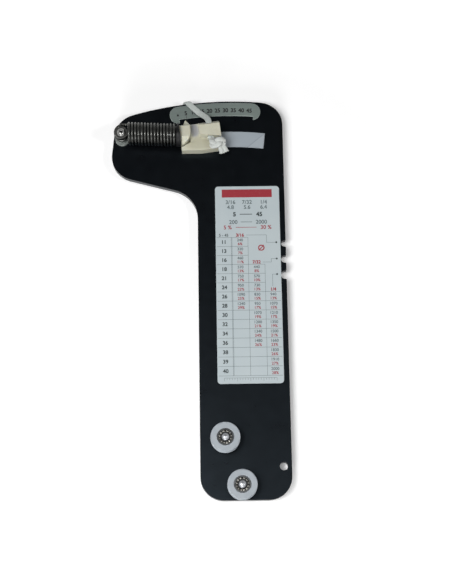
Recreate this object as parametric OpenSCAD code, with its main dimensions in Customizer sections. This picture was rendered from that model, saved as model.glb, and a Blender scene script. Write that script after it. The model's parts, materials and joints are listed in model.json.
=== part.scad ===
// Cable tension gauge, lying on its back.
// A flat plate carries two grooved wheels at its foot and, on its head, a spring that pulls
// a hook block to the left. A cable runs between the wheels and over the hook block.
// Millimetres. X to the right, Y towards the head, Z up off the face.
// The origin is under the middle of the plate, on the surface that the gauge lies on.

/* [Plate] */
// Length of the plate, from the foot to the top of the head
plate_length = 319.2; // [305:0.1:335]
// Width of the plate across the head
plate_width = 136.2; // [132:0.1:145]
// Thickness of the plate
plate_t = 4.76; // [3:0.01:6.4]
// Width of the handle
handle_width = 68.5; // [64:0.5:72]
// Depth of the head where it meets the handle
head_depth = 80; // [74:0.5:86]
// Slope of the head's lower edge, in degrees
head_slope = 15; // [10:0.5:20]

/* [Plate corners] */
// Radius of the two corners at the foot
foot_r = 17.5; // [10:0.5:24]
// Radius of the corner at the upper right
crown_r = 19; // [10:0.5:22]
// Radius of the corner at the upper left
shoulder_r = 20.5; // [14:0.5:24]
// How far the upper left corner is drawn in
shoulder_inset = 1.7; // [0:0.1:4]
// Radius of the corner at the lower left of the head
cheek_r = 20; // [16:0.5:24]
// Radius of the inner corner between head and handle
throat_r = 24; // [15:0.5:30]

/* [Swing] */
// Distance from the right edge to the point that the cable swings about
swing_inset = 43.1; // [36:0.1:50]
// Height of that point above the foot of the plate
swing_up = 45.7; // [40:0.1:52]

/* [Edge notches] */
// Cable that each notch gauges
notch_cables = [6.35, 5.56, 4.76];
// Play of a cable in its notch
notch_play = 0.14; // [0.05:0.01:0.3]
// How much deeper than half round a notch is
notch_extra = 1.1; // [0.5:0.1:2]
// Distance between the notches
notch_pitch = 12.7; // [11:0.1:15]
// Distance from the foot to the lowest notch
notch_up = 173.6; // [150:0.1:190]
// Rounding of the teeth between the notches
tooth_r = 0.8; // [0.3:0.1:1.2]

/* [Label and hole] */
// Width of the chart label
label_width = 50.5; // [44:0.1:54]
// Length of the chart label
label_length = 158.7; // [150:0.1:164]
// Thickness of the label
label_t = 0.2; // [0.1:0.05:0.4]
// Corner radius of the label
label_r = 2.5; // [1:0.1:5]
// Distance from the plate's right edge to the label
label_inset = 4.2; // [1:0.1:8]
// Distance from the foot to the label
label_up = 87.9; // [84:0.1:92]
// Radius of the hanging hole
hang_hole_r = 3; // [2:0.1:4]
// Distance from the right edge to the middle of the hanging hole
hang_hole_inset = 6.1; // [5:0.1:12]
// Distance from the foot to the middle of the hanging hole
hang_hole_up = 24.9; // [20:0.1:32]

/* [Scale and slide strip] */
// Width of the curved scale plate
scale_width = 14.4; // [12:0.1:17]
// Thickness of the scale plate
scale_t = 0.8; // [0.5:0.1:1.2]
// Distance from the plate's top edge to the scale plate
scale_inset = 1.5; // [1:0.1:3]
// Depth of the cut-out that the pointer runs in
scale_notch = 3.2; // [2:0.1:5]
// Width of the slide strip
strip_width = 13; // [10:0.1:16]
// Thickness of the slide strip
strip_t = 0.5; // [0.3:0.1:0.8]
// Distance from the plate's top edge to the middle of the slide strip
strip_inset = 32.8; // [30:0.1:36]

/* [Spring and anchor] */
// Outer diameter of the spring
spring_od = 19.05; // [17:0.05:19.8]
// Diameter of the spring wire
wire_d = 2.03; // [1.6:0.01:2.1]
// Distance from one turn of the spring to the next
spring_pitch = 2.53; // [2.5:0.01:2.56]
// Turns of the spring
spring_turns = 14.5; // [13:0.5:14.5]
// Height of the spring's axis above the plate
spring_up = 10.2; // [10:0.1:11]
// Slope of the spring's axis, in degrees
spring_slope = -2.4; // [-3:0.1:-1.5]
// Radius of the anchor's neck
neck_r = 2.9; // [2.6:0.1:3.2]
// Radius of the anchor's base flange
anchor_base_r = 5.5; // [4.5:0.1:6]
// Height of the anchor's sleeve
anchor_height = 14.2; // [13:0.1:16]
// Radius of the cap washer
cap_r = 5.15; // [4.5:0.05:6]
// Thickness of the cap washer
cap_t = 2.2; // [1.5:0.1:3]

/* [Hook block] */
// Width of the block
block_w = 32; // [31:0.5:33]
// Depth of the block, towards the scale
block_d = 22.6; // [21:0.1:24]
// Turn of the block on the plate, in degrees
block_turn = 6.5; // [5:0.1:8]
// Height of the surface that the cable lies on
shelf_up = 8.2; // [7:0.1:9]
// Height of the jaw on the left
jaw_up = 15; // [14:0.1:16.5]
// Height of the horn on the right
horn_up = 14.6; // [14:0.1:16]
// Width of the groove that holds the cable
groove_w = 7; // [6.4:0.1:7.4]
// Clearance under the block
slide_clear = 0.1; // [0.05:0.05:0.2]

/* [Wheels] */
// Radius of a wheel
wheel_r = 11.1; // [10.6:0.1:12]
// Thickness of a wheel
wheel_w = 8.2; // [8:0.1:9]
// Height of the wheels' middle above the plate, where the cable runs
wheel_up = 11.2; // [10.5:0.1:12]
// Radius of the round groove in the tyre
tyre_groove_r = 3.2; // [3:0.1:3.3]
// Depth of that groove
tyre_groove_depth = 2.6; // [2.2:0.1:2.8]
// Radius of the ball bearing
bearing_r = 6.5; // [6.2:0.1:6.8]
// Width of the ball bearing
bearing_w = 5; // [4:0.1:5.5]
// Radius of a ball
ball_r = 1.1; // [0.9:0.05:1.12]
// Balls in a bearing
ball_count = 12; // [9:1:12]
// Radius of the circle that the balls run on
ball_pitch_r = 4.4; // [4.4:0.1:4.6]
// Play of the balls in their races
ball_play = 0.04; // [0.02:0.01:0.08]
// Height of the lower wheel's axle above the foot
lower_wheel_up = 10.1; // [8:0.1:14]
// Distance from the right edge to the lower wheel's axle
lower_wheel_inset = 37.6; // [34:0.1:42]
// How much further left the upper wheel is
wheel_step_x = 12; // [8:0.1:14]
// How much higher the upper wheel is
wheel_step_y = 35.1; // [30:0.1:40]

/* [Fasteners] */
// Radius of the axles and of the anchor screw
stud_r = 2; // [1.8:0.05:2.2]
// Play of a stud in its hole
stud_play = 0.08; // [0.05:0.01:0.15]
// Height of a lock nut
nut_h = 5.2; // [5:0.1:6.5]
// Width of a lock nut across its flats
nut_flats = 9.5; // [8.5:0.1:10.5]
// Thickness of a washer
washer_t = 1; // [0.6:0.1:1.4]
// Radius of a washer
washer_r = 5; // [4.6:0.1:6]

/* [Lanyard] */
// Width of the flat braid
braid_w = 4.7; // [4:0.1:5]
// Thickness of the flat braid
braid_t = 1.8; // [1.4:0.1:1.9]
// Radius of the hank's inner folds
hank_r = 14.2; // [14:0.1:15]
// Length of the hank between its folds
hank_run = 71; // [66:1:76]

/* [Hidden] */

// Levels
back_z = nut_h + washer_t;
face_z = back_z + plate_t;
spring_z = face_z + spring_up;

// Edges of the plate
wheel_overhang = max(0, wheel_r - lower_wheel_up);
left_x = -plate_width / 2;
right_x = plate_width / 2;
foot_y = -(plate_length - wheel_overhang) / 2;
top_y = foot_y + plate_length;
handle_x = right_x - handle_width;

// The point that the cable and the hook block swing about
swing = [right_x - swing_inset, foot_y + swing_up];
edge_r = top_y - swing.y;
scale_r = edge_r - scale_inset - scale_width / 2;
strip_r = edge_r - strip_inset;

// Places of the wheels, the anchor and the hook block
lower_wheel = [right_x - lower_wheel_inset, foot_y + lower_wheel_up];
upper_wheel = lower_wheel + [-wheel_step_x, wheel_step_y];
anchor = [left_x + 8.3, top_y - 32.4];
studs = [anchor, upper_wheel, lower_wheel];
block = [left_x + 70.6, top_y - 33.2];
hank_centre = [33, 62];

// A point at a radius from the swing point, at an angle to the right of straight up
function swung(r, a) = swing + r * [sin(a), cos(a)];

// Points of an arc, both ends included
function arc(c, r, a0, a1, n = 12) =
    [for (i = [0:n]) let (a = a0 + (a1 - a0) * i / n) c + r * [cos(a), sin(a)]];

// Points of a band between two radii from the swing point
function band(r, w, a0, a1, n = 32) = concat(
    [for (i = [0:n]) swung(r + w / 2, a0 + (a1 - a0) * i / n)],
    [for (i = [0:n]) swung(r - w / 2, a1 - (a1 - a0) * i / n)]
);

// From 0 to 1 as t goes from 0 to 1, with a soft start and end
function ease(t) = let (u = min(max(t, 0), 1)) u * u * (3 - 2 * u);

function unit(v) = v / norm(v);

// Steel, nylon and the other finishes
steel = [0.72, 0.72, 0.7];
dark_steel = [0.36, 0.37, 0.36];
nylon = [0.77, 0.76, 0.68];
braid = [0.78, 0.8, 0.77];

// Plate

// One edge notch with rounded lips, as points going up the right edge
function notch_points(y, w, depth) = let (
    h = w / 2,
    lip_x = right_x - tooth_r
) concat(
    arc([lip_x, y - h - tooth_r], tooth_r, 0, 90, 4),
    arc([right_x - depth + h, y], h, 270, 90, 12),
    arc([lip_x, y + h + tooth_r], tooth_r, 270, 360, 4)
);

notch_list = [
    for (i = [0:len(notch_cables) - 1])
    let (w = notch_cables[i] + notch_play)
    [foot_y + notch_up + i * notch_pitch, w, w / 2 + notch_extra]
];

under_y = top_y - head_depth;
crown_x = right_x - crown_r;
crown = [crown_x, swing.y + sqrt(pow(edge_r - crown_r, 2) - pow(crown_x - swing.x, 2))];
crown_angle = atan2(crown.y - swing.y, crown.x - swing.x);
shoulder_x = left_x + shoulder_inset + shoulder_r;
shoulder = [shoulder_x, swing.y + sqrt(pow(edge_r - shoulder_r, 2) - pow(shoulder_x - swing.x, 2))];
shoulder_angle = atan2(shoulder.y - swing.y, shoulder.x - swing.x);
cheek_x = left_x + cheek_r;
cheek = [cheek_x, under_y + tan(head_slope) * (handle_x - cheek_x) + cheek_r / cos(head_slope)];
throat_x = handle_x - throat_r;
throat = [throat_x, under_y + tan(head_slope) * throat_r - throat_r / cos(head_slope)];
// Direction square to the left edge, which touches both left corners
side = shoulder - cheek;
side_angle = atan2(side.y, side.x) + acos((cheek_r - shoulder_r) / norm(side));

plate_outline = concat(
    arc([handle_x + foot_r, foot_y + foot_r], foot_r, 180, 270),
    arc([right_x - foot_r, foot_y + foot_r], foot_r, 270, 360),
    [for (n = notch_list) each notch_points(n[0], n[1], n[2])],
    arc(crown, crown_r, 0, crown_angle),
    arc(swing, edge_r, crown_angle, shoulder_angle, 30),
    arc(shoulder, shoulder_r, shoulder_angle, side_angle),
    arc(cheek, cheek_r, side_angle, 270 - head_slope),
    arc(throat, throat_r, 90 - head_slope, 0)
);

module body_plate() {
    hang_hole = [right_x - hang_hole_inset, foot_y + hang_hole_up];
    color([0.08, 0.09, 0.1])
    difference() {
        translate([0, 0, back_z])
            linear_extrude(plate_t)
                polygon(plate_outline);
        translate([hang_hole.x, hang_hole.y, back_z - 1])
            cylinder(r = hang_hole_r, h = plate_t + 2, $fn = 48);
        for (s = studs)
            translate([s.x, s.y, back_z - 1])
                cylinder(r = stud_r + stud_play, h = plate_t + 2, $fn = 48);
    }
}

// Scale, label and slide strip

// Compass angles of the round ends of scale plate and strip
scale_left = -8.65;
scale_right = 3.98;
strip_left = -8.9;
strip_right = 6.7;
// Lip that the pointer's cut-out leaves on the right end
scale_lip = 1.6;

scale_outline = let (
    h = scale_width / 2,
    notch_r = scale_r - h + scale_notch,
    notch_end = scale_right + scale_lip / notch_r * 180 / PI
) concat(
    arc(swung(scale_r, scale_left), h, 270 - scale_left, 90 - scale_left, 16),
    [for (i = [1:23]) swung(scale_r + h, scale_left + (scale_right - scale_left) * i / 24)],
    arc(swung(scale_r, scale_right), h, 90 - scale_right, asin(scale_lip / h) - 90 - scale_right, 16),
    [for (i = [0:24]) swung(notch_r, notch_end + (scale_left - notch_end) * i / 24)]
);

module scale_plate() {
    color([0.5, 0.55, 0.53])
    translate([0, 0, face_z])
    linear_extrude(scale_t)
    polygon(scale_outline);
}

module chart_label() {
    low = [right_x - label_inset - label_width + label_r, foot_y + label_up + label_r];
    high = [right_x - label_inset - label_r, foot_y + label_up + label_length - label_r];
    color([0.78, 0.83, 0.83])
    translate([0, 0, face_z])
    linear_extrude(label_t)
    polygon(concat(
        arc(low, label_r, 180, 270, 6),
        arc([high.x, low.y], label_r, 270, 360, 6),
        arc(high, label_r, 0, 90, 6),
        arc([low.x, high.y], label_r, 90, 180, 6)
    ));
}

module slide_strip() {
    color([0.62, 0.66, 0.7])
    translate([0, 0, face_z])
    linear_extrude(strip_t)
    polygon(band(strip_r, strip_width, strip_left, strip_right));
}

// Anchor of the spring

anchor_base_t = 1.8;
head_r = 3.6;
head_h = 2.3;

module at_anchor(z) {
    translate([anchor.x, anchor.y, face_z + z])
        children();
}

module anchor_sleeve() {
    color(dark_steel)
    at_anchor(0)
    difference() {
        union() {
            cylinder(r = neck_r, h = anchor_height, $fn = 48);
            cylinder(r = anchor_base_r, h = anchor_base_t, $fn = 48);
        }
        translate([0, 0, -1])
            cylinder(r = stud_r + stud_play, h = anchor_height + 2, $fn = 48);
    }
}

module anchor_cap() {
    color(steel)
    at_anchor(anchor_height)
    difference() {
        cylinder(r = cap_r, h = cap_t, $fn = 48);
        translate([0, 0, -1])
            cylinder(r = stud_r + stud_play, h = cap_t + 2, $fn = 48);
    }
}

// Button head with a hexagon socket, on a stud that runs down through the nut
module anchor_screw() {
    seat = anchor_height + cap_t;
    dome_r = (head_r * head_r + head_h * head_h) / (2 * head_h);
    color(steel)
    union() {
        at_anchor(seat)
        difference() {
            intersection() {
                cylinder(r = head_r, h = head_h, $fn = 48);
                translate([0, 0, head_h - dome_r])
                    sphere(r = dome_r, $fn = 48);
            }
            translate([0, 0, head_h - 1.3])
                cylinder(d = 2.9, h = 2, $fn = 6);
        }
        translate([anchor.x, anchor.y, 0.4])
            cylinder(r = stud_r, h = face_z + seat - 0.3, $fn = 48);
    }
}

// Spring: one wire, hooked round the anchor's neck and wound to the right

coil_r = (spring_od - wire_d) / 2;
hook_r = neck_r + 0.15 + wire_d / 2;
// The spring's axis passes the anchor at this distance
hook_offset = 1.6;
hook_bend = 2.2;
coil_start = 5.4;
coil_rings = 8;

hook_rise = 1.8;
hook_from = 75;
hook_round = 205;
hook_to = 400;

// From the free end, round the neck and out to the coil, rising towards the free end
hook_wire = [
    for (i = [0:18])
    let (
        a = hook_to - (hook_to - hook_from) * i / 18,
        r = hook_r + (coil_r + hook_offset - hook_r) * (1 - ease((a - hook_from) / (hook_round - hook_from))),
        up = hook_rise * (1 - i / 18)
    )
    [r * cos(a), r * sin(a), up - hook_bend]
];
bend_wire = [
    for (a = [30, 60])
    [coil_start - hook_bend + hook_bend * sin(a), coil_r + hook_offset, -hook_bend * cos(a)]
];
coil_wire = [
    for (i = [0:coil_rings * spring_turns])
    let (a = i * 360 / coil_rings)
    [coil_start + spring_pitch * a / 360, hook_offset + coil_r * cos(a), coil_r * sin(a)]
];
// The last turn ends straight
coil_last = coil_wire[len(coil_wire) - 1];
coil_tail = wire_d * unit(coil_last - coil_wire[len(coil_wire) - 2]);
spring_wire = concat(hook_wire, bend_wire, coil_wire, [coil_last + coil_tail]);

// Least gap between parts of the wire that are more than half a turn apart
wire_gap = min([
    for (i = [0:len(spring_wire) - 6])
    min([for (j = [i + 5:len(spring_wire) - 1]) norm(spring_wire[j] - spring_wire[i])])
]) - wire_d;
echo(spring_least_gap = wire_gap);

// Rings of points round a path. sides gives each ring's sideways direction, and a
// cross-section is a list of [sideways, up]
function path_tangent(p, i) = unit(p[min(i + 1, len(p) - 1)] - p[max(i - 1, 0)]);
function ring_faces(n, rings) = concat(
    [[for (k = [n - 1:-1:0]) k]],
    [
        for (i = [0:rings - 2], k = [0:n - 1])
        let (a = i * n + k, b = i * n + (k + 1) % n)
        each [[a, b, b + n], [a, b + n, a + n]]
    ],
    [[for (k = [0:n - 1]) (rings - 1) * n + k]]
);

module swept(path, sides, section) {
    rings = [
        for (i = [0:len(path) - 1])
        let (
            t = path_tangent(path, i),
            up = unit(cross(sides[i], t)),
            across = cross(t, up)
        )
        each [for (c = section) path[i] + across * c[0] + up * c[1]]
    ];
    polyhedron(points = rings, faces = ring_faces(len(section), len(path)), convexity = 10);
}

wire_section = [for (k = [0:5]) wire_d / 2 * [cos(60 * k), sin(60 * k)]];
// On the hook the rings stand upright, and on the coil they point at the spring's axis
flat_rings = len(hook_wire) + 1;
wire_sides = [
    for (i = [0:len(spring_wire) - 1])
    let (p = spring_wire[i])
    i < flat_rings ? [0, 0, 1] : unit([0, p.y - hook_offset, p.z])
];

module along_spring(x) {
    translate([anchor.x, anchor.y, spring_z])
        rotate([0, 0, spring_slope])
            translate([x, 0, 0])
                children();
}

module spring() {
    color(dark_steel)
    along_spring(0)
        swept(spring_wire, wire_sides, wire_section);
}

// Hook block, in its own frame: u to the right, v towards the scale

jaw_w = 8.4;
jaw_round = 9.6;
front_left = -9.9;
front_middle = -11.6;
front_right = -11.2;
groove_left = -block_w / 2 + jaw_w;
groove_right = groove_left + groove_w;
shelf_step = 1;
horn_lean = 4;
cord_hole_r = 2.45;
cord_hole_u = 7.8;
cord_hole_up = 10.2;
cord_hole_v = -5;

module at_block(z) {
    translate([block.x, block.y, face_z + z])
        rotate([0, 0, block_turn])
            children();
}

// Cuts the back of a horn to a slope that starts at the shelf
module sloped_back(top, lean) {
    translate([-block_w, block_d / 2, shelf_up])
        rotate([atan(lean / (top - shelf_up)), 0, 0])
            cube([2 * block_w, block_d, 2 * top]);
}

module jaw_shape() {
    intersection() {
        translate([-block_w / 2, -block_d / 2])
            square([jaw_w, block_d]);
        union() {
            translate([groove_left - jaw_round, 3.5])
                circle(r = jaw_round, $fn = 96);
            translate([-block_w / 2, 3.5])
                square([jaw_w, block_d]);
        }
    }
}

module jaw() {
    difference() {
        linear_extrude(jaw_up - strip_t - slide_clear)
            jaw_shape();
        translate([0, 0, -strip_t - slide_clear]) {
            sloped_back(jaw_up, 3.3);
            // Slope of the nose
            translate([-block_w, -1, jaw_up])
                rotate([42, 0, 0])
                    translate([0, -block_d, 0])
                        cube([2 * block_w, block_d, jaw_up]);
        }
    }
}

module horn() {
    difference() {
        linear_extrude(horn_up - strip_t - slide_clear)
            polygon([
                [groove_right, -0.3],
                [block_w / 2, -3.8],
                [block_w / 2, block_d / 2],
                [groove_right, block_d / 2]
            ]);
        translate([0, 0, -strip_t - slide_clear])
            sloped_back(horn_up, horn_lean);
    }
}

// Low part under everything, with the pointer at its back
module block_base() {
    linear_extrude(shelf_up - shelf_step - strip_t - slide_clear)
        polygon([
            [-block_w / 2, front_left],
            [-0.7, front_middle],
            [block_w / 2, front_right],
            [block_w / 2, block_d / 2],
            [-block_w / 2, block_d / 2]
        ]);
    linear_extrude(3)
        polygon([
            [-13.3, block_d / 2 - 1],
            [-5.9, block_d / 2 - 1],
            [-5.9, block_d / 2],
            [-10.3, block_d / 2 + 5.9],
            [-13.3, block_d / 2]
        ]);
}

// Raised rail along the front, chamfered along its top
module front_rail() {
    rail = shelf_up - strip_t - slide_clear;
    difference() {
        linear_extrude(rail)
            polygon([
                [-block_w / 2, front_left],
                [-0.7, front_middle],
                [block_w / 2, front_right],
                [block_w / 2, -4.2],
                [-9.6, -4.5],
                [-block_w / 2, -7.3]
            ]);
        translate([-block_w, front_middle - 0.8, rail])
            rotate([45, 0, 0])
                cube([2 * block_w, 2, 2]);
    }
}

module whole_block() {
    at_block(strip_t + slide_clear)
    difference() {
        union() {
            difference() {
                union() {
                    block_base();
                    front_rail();
                }
                // Slit between the jaw's nose and the rail
                translate([0, 0, 1.5])
                    linear_extrude(jaw_up)
                        difference() {
                            polygon([
                                [-block_w / 2 - 1, -7.75],
                                [-9.6, -4.5],
                                [-8.2, -4.4],
                                [-8.2, 0],
                                [-block_w / 2 - 1, 0]
                            ]);
                            jaw_shape();
                        }
            }
            jaw();
            horn();
        }
        translate([cord_hole_u, cord_hole_v, cord_hole_up - strip_t - slide_clear])
            rotate([-90, 0, 0])
                cylinder(r = cord_hole_r, h = block_d, $fn = 48);
    }
}

// The block, with the screw hole that its plug is held by
module hook_block() {
    color(nylon)
    difference() {
        whole_block();
        along_axis(jaw_x - 5)
            cylinder(r = plug_screw_r + 0.05, h = 5 + screw_bite + 0.5, $fn = 48);
    }
}

// Plug: a collar between spring and jaw, and a spigot that the last turns lie round

// Where the spring's axis meets the jaw
jaw_x = 44.5;
collar_r = 9.2;
spigot_r = (coil_r - wire_d / 2) * cos(180 / coil_rings) - 0.1;
spigot_length = 4.5;
coil_end = coil_last.x + wire_d / 2 + 0.3;
plug_screw_r = 1.5;
screw_bite = 6;
screw_head_t = 1.6;

// Stands children along the spring's axis, x from the anchor
module along_axis(x) {
    along_spring(x)
        translate([0, hook_offset, 0])
            rotate([0, 90, 0])
                children();
}

module spring_plug() {
    color([0.05, 0.05, 0.05])
    difference() {
        union() {
            along_axis(coil_end)
                cylinder(r = collar_r, h = 10, $fn = 64);
            along_axis(coil_end - spigot_length)
                cylinder(r = spigot_r, h = spigot_length + 1, $fn = 64);
        }
        along_axis(coil_end - spigot_length - 1)
            cylinder(r = plug_screw_r + 0.05, h = 20, $fn = 48);
        at_block(-spring_up)
            translate([-block_w / 2, -block_w, 0])
                cube([block_w, 2 * block_w, 3 * spring_up]);
    }
}

module plug_screw() {
    head_x = coil_end - spigot_length - screw_head_t;
    color(steel)
    union() {
        along_axis(head_x)
            cylinder(r = 2.9, h = screw_head_t, $fn = 48);
        along_axis(head_x + 0.1)
            cylinder(r = plug_screw_r, h = jaw_x + screw_bite - head_x - 0.1, $fn = 48);
    }
}

// Wheels

bearing_recess = 0.4;
bearing_low = wheel_w / 2 - bearing_recess - bearing_w;
ball_level = bearing_low + bearing_w / 2;
inner_race_bore = stud_r + stud_play;
spacer_r = 3.4;
shoulder_gap = 0.8;

module at_wheel(c, z) {
    translate([c.x, c.y, face_z + wheel_up + z])
        children();
}

tyre_lip = 0.4;
groove_centre = wheel_r - tyre_groove_depth + tyre_groove_r;
groove_half = acos((groove_centre - wheel_r) / tyre_groove_r);
tyre_profile = concat(
    [[bearing_r, wheel_w / 2], [bearing_r, bearing_low], [spacer_r + 0.5, bearing_low]],
    [[spacer_r + 0.5, -wheel_w / 2], [wheel_r - tyre_lip, -wheel_w / 2], [wheel_r, -wheel_w / 2 + tyre_lip]],
    arc([groove_centre, 0], tyre_groove_r, 180 + groove_half, 180 - groove_half, 14),
    [[wheel_r, wheel_w / 2 - tyre_lip], [wheel_r - tyre_lip, wheel_w / 2]]
);

module tyre(c) {
    color([0.72, 0.76, 0.78])
    at_wheel(c, 0)
        rotate_extrude($fn = 96)
            polygon(tyre_profile);
}

// A ring of the bearing, with the half-round track that the balls run in
module race(c, r0, r1) {
    color(steel)
    at_wheel(c, 0)
    rotate_extrude($fn = 96)
    difference() {
        translate([r0, bearing_low])
            square([r1 - r0, bearing_w]);
        translate([ball_pitch_r, ball_level])
            circle(r = ball_r + ball_play, $fn = 48);
    }
}

module outer_race(c) {
    race(c, ball_pitch_r + shoulder_gap, bearing_r);
}

module inner_race(c) {
    race(c, inner_race_bore, ball_pitch_r - shoulder_gap);
}

module balls(c) {
    color([0.85, 0.85, 0.85])
    for (k = [0:ball_count - 1])
        at_wheel(c, ball_level)
            rotate([0, 0, (k + 0.5) * 360 / ball_count])
                translate([ball_pitch_r, 0, 0])
                    sphere(r = ball_r, $fn = 32);
}

module spacer(c) {
    color(dark_steel)
    translate([c.x, c.y, face_z])
    difference() {
        cylinder(r = spacer_r, h = wheel_up + bearing_low, $fn = 48);
        translate([0, 0, -1])
            cylinder(r = stud_r + stud_play, h = wheel_up + wheel_w, $fn = 48);
    }
}

// Axle with a low domed head that holds the inner race down
module axle(c) {
    seat = face_z + wheel_up + bearing_low + bearing_w;
    cap = 2.9;
    rise = 1.4;
    dome_r = (cap * cap + rise * rise) / (2 * rise);
    color(steel)
    translate([c.x, c.y, 0])
    union() {
        translate([0, 0, 0.4])
            cylinder(r = stud_r, h = seat - 0.3, $fn = 48);
        intersection() {
            translate([0, 0, seat])
                cylinder(r = cap, h = rise + 1, $fn = 48);
            translate([0, 0, seat + rise - dome_r])
                sphere(r = dome_r, $fn = 64);
        }
    }
}

// Fasteners behind the plate, which the gauge also stands on

module back_washer(c) {
    color(steel)
    translate([c.x, c.y, nut_h])
    difference() {
        cylinder(r = washer_r, h = washer_t, $fn = 48);
        translate([0, 0, -1])
            cylinder(r = stud_r + stud_play, h = washer_t + 2, $fn = 48);
    }
}

// Lock nut: a hexagon with a round collar at its outer end
module back_nut(c) {
    collar = 1.3;
    color(steel)
    translate([c.x, c.y, 0])
    difference() {
        union() {
            translate([0, 0, collar])
                cylinder(d = nut_flats / cos(30), h = nut_h - collar, $fn = 6);
            cylinder(r = nut_flats / 2 - 0.6, h = collar + 0.5, $fn = 48);
        }
        translate([0, 0, -1])
            cylinder(r = stud_r + stud_play, h = nut_h + 2, $fn = 48);
    }
}

// Lanyard: a flat braid, knotted in front of the block, over the top edge and under the plate

braid_section = [
    [braid_w / 2, 0], [braid_w / 3, braid_t / 2], [-braid_w / 3, braid_t / 2],
    [-braid_w / 2, 0], [-braid_w / 3, -braid_t / 2], [braid_w / 3, -braid_t / 2]
];

// Routes, each point with the compass direction in which the braid's width lies.
// From the knot through the block and over the plate's edge
front_route = [
    [10.7, 123.8, 21.2, 6], [10.4, 126.0, 21.2, 6], [10.0, 130.0, 21.2, 6], [9.5, 134.0, 21.2, 6],
    [9.1, 137.6, 21.1, 8], [8.6, 140.6, 20.2, 18], [7.1, 143.4, 18.2, 32], [4.6, 146.2, 16.0, 42],
    [1.8, 149.0, 14.1, 44], [-0.8, 151.6, 13.3, 44], [-3.2, 154.0, 13.1, 42], [-5.3, 156.2, 13.1, 34],
    [-6.9, 157.9, 12.9, 20], [-8.2, 159.0, 12.0, 10], [-8.8, 159.2, 10.6, 7], [-9.1, 159.2, 9.0, 7],
    [-9.3, 159.2, 7.4, 6]
];
// From there down to the table and back under the plate to the hank
back_route = [
    [-9.4, 159.2, 7.1, 5], [-9.7, 158.9, 5.3, -4], [-10.1, 158.2, 3.4, -14], [-11.0, 156.8, 1.9, -24],
    [-12.4, 154.8, 1.1, -32], [-14.4, 151.8, 0.9, -30], [-15.8, 148.2, 0.9, -14], [-15.8, 144.0, 0.9, 8],
    [-13.6, 139.8, 0.9, 32], [-10.0, 136.0, 0.9, 45], [-5.6, 131.6, 0.9, 45], [-1.4, 127.2, 0.9, 42],
    [2.4, 122.4, 0.9, 36], [5.4, 117.2, 0.9, 26], [7.6, 111.6, 0.9, 16], [8.8, 105.8, 0.9, 6],
    [9.0, 102.4, 0.9, 0]
];

module braid_along(route) {
    color(braid)
        swept(
            [for (p = route) [p.x, p.y, p.z]],
            [for (p = route) [cos(p[3]), sin(p[3]), 0]],
            braid_section
        );
}

module lanyard_front() {
    braid_along(front_route);
}

module lanyard_back() {
    braid_along(back_route);
}

// Knot in front of the block, with its two tails beside it
module lanyard_knot() {
    color(braid)
    at_block(0) {
        knot_lobe([cord_hole_u + 2.2, -8.2, 12.9], 4.5);
        knot_lobe([cord_hole_u + 7.4, -8.8, 12.4], 4);
        knot_tail([cord_hole_u + 7, -10, 10.9], -76, 5.5);
        knot_tail([cord_hole_u + 8.4, -9.6, 11.1], -48, 5.5);
    }
}

// A lobe of the knot, with its poles towards its neighbour
module knot_lobe(middle, r) {
    translate(middle)
        rotate([0, 90, 0])
            sphere(r = r, $fn = 48);
}

// A short end of cord that droops a little, in a compass direction
module knot_tail(from, heading, length) {
    tail_r = 1.7;
    tip_r = 1.1;
    tip_length = 1.3;
    droop = 12;
    translate(from)
        rotate([0, 90 + droop, heading]) {
            cylinder(r = tail_r, h = length, $fn = 32);
            translate([0, 0, length])
                cylinder(r1 = tail_r, r2 = tip_r, h = tip_length, $fn = 32);
        }
}

// Hank: the braid wound into long loops, inwards and then outwards on a second layer,
// and drawn in at the waist by a tie

hank_step = 9.2;
hank_outer_r = hank_r + hank_step;
layer_rise = braid_t + 0.65;
waist_draw = 11;
waist_lift = 0.8;
tie_t = 0.6;
tie_w = 5;
end_knot_r = 2.7;
end_knot_length = 6;
mean_r = hank_r + hank_step / 2;
half_run = hank_run / 2;
fold_length = PI * mean_r;
loop_length = 2 * hank_run + 2 * fold_length;
run_share = half_run / loop_length;

// A place on a loop of radius r, d along it from the middle of the left run, downwards
function on_loop(d, r) =
    d < half_run ? [-r, -d]
    : d < half_run + fold_length ? let (a = 180 + 180 * (d - half_run) / fold_length)
        [r * cos(a), -half_run + r * sin(a)]
    : d < 3 * half_run + fold_length ? [r, d - 2 * half_run - fold_length]
    : d < 3 * half_run + 2 * fold_length ? let (a = 180 * (d - 3 * half_run - fold_length) / fold_length)
        [r * cos(a), half_run + r * sin(a)]
    : [-r, loop_length - d];

// How far a place along the runs is drawn in, from 0 at the folds to 1 at the waist
function waist(y) = abs(y) < half_run ? (1 + cos(180 * y / half_run)) / 2 : 0;

// The braid's place after s loops
function hank_point(s) = let (
    p = on_loop((s - floor(s)) * loop_length, hank_outer_r - hank_step * (1 - abs(s - 1))),
    w = waist(p.y),
    rise = ease((s - 1 + run_share) / (2 * run_share))
) [p.x - sign(p.x) * waist_draw * w, p.y, braid_t / 2 + layer_rise * rise + waist_lift * w];

hank_rings = 24;
hank_wound = [
    for (i = [0:2 * hank_rings + 7])
    hank_point(-run_share + (2 + 2 * run_share) * i / (2 * hank_rings + 7))
];
hank_first = hank_wound[0];
hank_last = hank_wound[len(hank_wound) - 1];
hank_path = concat(
    [hank_first + [0, braid_w, 0]],
    hank_wound,
    [
        [hank_last.x, hank_last.y - 7, hank_last.z],
        [hank_last.x, hank_last.y - 13, end_knot_r],
        [hank_last.x, hank_last.y - 13 - braid_w, end_knot_r]
    ]
);
hank_sides = [
    for (i = [0:len(hank_path) - 1])
    let (t = path_tangent(hank_path, i))
    unit([-t.y, t.x, 0])
];

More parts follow.
